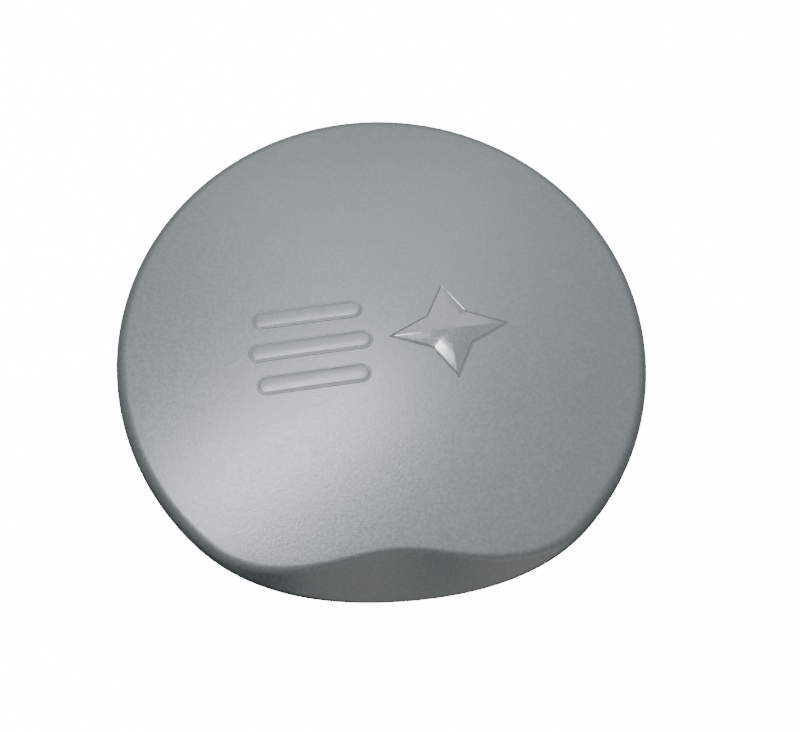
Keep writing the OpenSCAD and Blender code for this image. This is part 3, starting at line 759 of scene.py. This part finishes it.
PAINT = (0.24, 0.262, 0.268)
MATERIALS = {
    "silver_shell": silver_paint("silver_paint", PAINT, 0.34, 0.15, 0.32, 0.3),
    "silver_inner": plastic("inner_abs", (0.22, 0.23, 0.23), 0.55, 500, 0.2),
    "black_ring": plastic("black_moulding", (0.018, 0.019, 0.02), 0.5, 900, 0.35),
    "rubber": plastic("epdm_rubber", (0.012, 0.012, 0.013), 0.75, 1200, 0.3, 0.35),
    "black_steel": powder_coat("black_powder_coat", (0.022, 0.023, 0.025)),
    "zinc_fasteners": metal("zinc_fastener", (0.62, 0.64, 0.66), 0.32),
    "zinc_plate": metal("zinc_plate", (0.56, 0.58, 0.60), 0.38, (1, 1, 6)),
    "alloy_trim": metal("mill_aluminium", (0.66, 0.67, 0.68), 0.36, (1, 1, 12), 0.2),
    "badge_gloss": silver_paint("badge_gloss_coat", PAINT, 0.17, 1.0, 0.04, 0.02),
    "badge_satin": silver_paint("badge_satin_paint", PAINT, 0.36, 0.3, 0.3, 0.06),
    "lock_black": plastic("black_nylon", (0.02, 0.021, 0.022), 0.42, 1100, 0.25),
    "lock_chrome": metal("chrome_plate", (0.80, 0.81, 0.82), 0.12, None, 0.05, 0.04),
}


def dress_cad_nodes():
    for node, slot in SLOT_OF.items():
        obj = NODES[node]
        obj.data.materials.clear()
        obj.data.materials.append(MATERIALS[slot])


def stand_in(obj, node):
    """Shows the object in place of a CAD node, on the same body and in the same slot."""
    body, slot = BODY_OF[node], SLOT_OF[node]
    obj.data.materials.clear()
    obj.data.materials.append(MATERIALS[slot])
    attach(obj, body)
    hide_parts(node)


# ---------------------------------------------------------------- stage
def make_camera():
    tilt, azimuth, roll = CAMERA_TILT, CAMERA_AZIMUTH, CAMERA_ROLL
    back = Vector((math.sin(azimuth) * math.sin(tilt), -math.cos(azimuth) * math.sin(tilt), math.cos(tilt)))
    right = Vector((math.cos(azimuth), math.sin(azimuth), 0))
    x_axis = right * math.cos(roll) + back.cross(right) * math.sin(roll)
    turn = Matrix((x_axis, back.cross(x_axis), back)).transposed().to_4x4()
    aim = Vector((0, 0, FACE_Z - AIM_UNDER_FACE))
    data = bpy.data.cameras.new("camera")
    data.sensor_width = 36
    data.lens = CAMERA_LENS
    data.shift_x = CAMERA_SHIFT_X
    data.shift_y = CAMERA_SHIFT_Y
    cam = bpy.data.objects.new("camera", data)
    cam.matrix_world = Matrix.Translation(aim + back * CAMERA_RADII * RADIUS) @ turn
    bpy.context.scene.collection.objects.link(cam)
    bpy.context.scene.camera = cam


def strip_light(name, direction, distance, long_axis, size, power):
    """A rectangular light that faces the middle of the shell, with its long side along an axis."""
    z_axis = Vector(direction).normalized()
    x_axis = (Vector(long_axis) - z_axis * Vector(long_axis).dot(z_axis)).normalized()
    turn = Matrix((x_axis, z_axis.cross(x_axis), z_axis)).transposed().to_4x4()
    data = bpy.data.lights.new(name, "AREA")
    data.shape = "RECTANGLE"
    data.size, data.size_y = size
    data.energy = power
    obj = bpy.data.objects.new(name, data)
    obj.matrix_world = Matrix.Translation(Vector((0, 0, FACE_Z)) + z_axis * distance) @ turn
    bpy.context.scene.collection.objects.link(obj)


def unlit(name, strength):
    """A plain white that glows, for the floor and the backdrop."""
    mat, _, bsdf = new_material(name)
    bsdf.inputs["Base Color"].default_value = (0.9, 0.9, 0.9, 1)
    bsdf.inputs["Roughness"].default_value = 0.9
    bsdf.inputs["Emission Color"].default_value = (1, 1, 1, 1)
    bsdf.inputs["Emission Strength"].default_value = strength
    return mat


def hide_from_light(obj):
    """Leaves the object to the camera only, so that it neither lights nor shades the cover."""
    obj.visible_diffuse = False
    obj.visible_glossy = False
    obj.visible_transmission = False
    obj.visible_shadow = False


def facing(tree, direction):
    """How nearly a world direction agrees with the given one, from -1 to 1."""
    coords = tree.nodes.new("ShaderNodeTexCoord")
    dot = tree.nodes.new("ShaderNodeVectorMath")
    dot.operation = "DOT_PRODUCT"
    dot.inputs[1].default_value = Vector(direction).normalized()
    tree.links.new(coords.outputs["Generated"], dot.inputs[0])
    return dot.outputs["Value"]


def make_world():
    """A soft studio: brightest overhead and behind, dim low down, with a soft pale patch low in front."""
    world = bpy.data.worlds.new("studio")
    world.use_nodes = True
    tree = world.node_tree
    stops = []
    for at, value in SKY:
        tint = COOL_TINT if at < SKY_COOL_BELOW else PLAIN_TINT
        stops.append((at, tuple(value * c for c in tint)))
    sky = ramp(tree, remap(tree, facing(tree, SKY_TOP), (-1, 1)), stops)
    near_patch = remap(tree, facing(tree, FRONT_PATCH), FRONT_PATCH_EDGE, interpolation="SMOOTHSTEP")
    patch = ramp(tree, near_patch, [(0, (0, 0, 0)), (1, FRONT_GLOW)])
    total = tree.nodes.new("ShaderNodeMix")
    total.data_type = "RGBA"
    total.blend_type = "ADD"
    total.inputs["Factor"].default_value = 1
    tree.links.new(sky, total.inputs[6])
    tree.links.new(patch, total.inputs[7])
    tree.links.new(total.outputs[2], tree.nodes["Background"].inputs["Color"])
    tree.nodes["Background"].inputs["Strength"].default_value = 1.0
    bpy.context.scene.world = world


def make_floor():
    far = STAGE_RADIUS
    corners = [(-far, -far, FLOOR_Z), (far, -far, FLOOR_Z), (far, far, FLOOR_Z), (-far, far, FLOOR_Z)]
    return add_mesh("floor", corners, [(0, 1, 2, 3)])


def make_backdrop():
    """A dome round the stage, from just under the floor almost to the top."""
    count = STAGE_SEGMENTS
    levels = [(STAGE_RADIUS * math.cos(t), STAGE_RADIUS * math.sin(t)) for t in np.linspace(-0.05, 1.5, 12)]
    verts = [(r * math.cos(a), r * math.sin(a), z) for r, z in levels
             for a in np.arange(count) * 2 * math.pi / count]
    faces = []
    for i in range(len(levels) - 1):
        for j in range(count):
            k = (j + 1) % count
            faces.append((i * count + j, i * count + k, (i + 1) * count + k, (i + 1) * count + j))
    return add_mesh("backdrop", verts, faces)


def make_stage():
    for obj in (make_floor(), make_backdrop()):
        obj.data.materials.append(unlit(obj.name + "_white", STAGE_GLOW))
        hide_from_light(obj)
    make_world()
    strip_light("strip", (-0.25, 0.05, 0.97), 2.4, (0.83, 0.55, 0), (1.8, 0.22), 26)
    strip_light("fill", (0.02, 0.57, 0.82), 2.6, (1, 0, 0), (2.0, 1.2), 6)


# ---------------------------------------------------------------- build
make_camera()
make_stage()
dress_cad_nodes()
stand_in(make_shell(), "front_shell")
ornaments()
foot_fasteners()
hub_rivets()
hinge_fasteners()
lock_and_striker_fasteners()
hoop_fasteners()
face_bumpers()
softened_cad()
